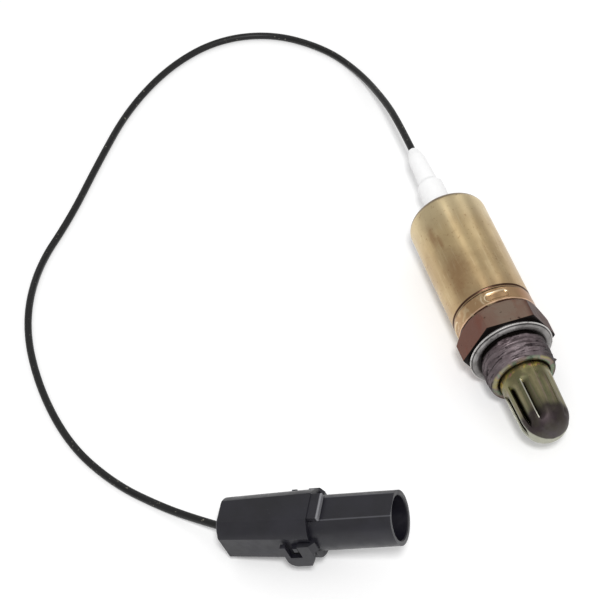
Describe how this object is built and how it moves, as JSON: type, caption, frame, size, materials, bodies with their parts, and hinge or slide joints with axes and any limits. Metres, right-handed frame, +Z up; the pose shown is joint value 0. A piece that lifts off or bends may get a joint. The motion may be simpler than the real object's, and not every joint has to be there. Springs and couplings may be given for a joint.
{
  "type": "oxygen sensor",
  "caption": "Exhaust oxygen sensor with threaded hexagonal housing, louvred shield, round outer shell, white boot, black lead and round plug.",
  "frame": {"origin": "on the ground under the middle of the sensor's own length, without the lead and plug", "axes": "+X along the sensor's axis towards its louvred tip, +Z up from the surface it lies on"},
  "size_m": [0.2008, 0.1319, 0.0255],
  "materials": {
    "housing_steel": "nickel-plated steel with a brown tint",
    "shell_steel": "drawn steel tinted brass-gold",
    "gasket_steel": "plain steel",
    "shield_steel": "heat-tinted stainless sheet",
    "inner_steel": "plain steel",
    "zirconia": "fired ceramic with platinum bands",
    "alumina": "fired ceramic",
    "talc": "pressed powder",
    "boot_polymer": "smooth white fluoropolymer",
    "lead_jacket": "glossy black jacket",
    "plug_plastic": "charcoal moulded plastic",
    "seal_rubber": "matt rubber",
    "terminal_brass": "tinned brass"
  },
  "bodies": {
    "root": {"sensor_housing": "housing_steel", "seal_gasket": "gasket_steel", "protection_tube": "shield_steel", "seal_washer": "inner_steel", "zirconia_element": "zirconia", "talc_packing": "talc", "packing_ring": "inner_steel", "contact_bush": "inner_steel", "contact_rod": "inner_steel", "support_ceramic": "alumina", "disc_spring": "inner_steel", "outer_shell": "shell_steel", "insulator_boot": "boot_polymer", "crimp_sleeve": "inner_steel", "lead_wire": "lead_jacket", "plug_housing": "plug_plastic", "wire_lock": "plug_plastic", "cable_seal": "seal_rubber", "pin_terminal": "terminal_brass"}
  },
  "joints": []
}
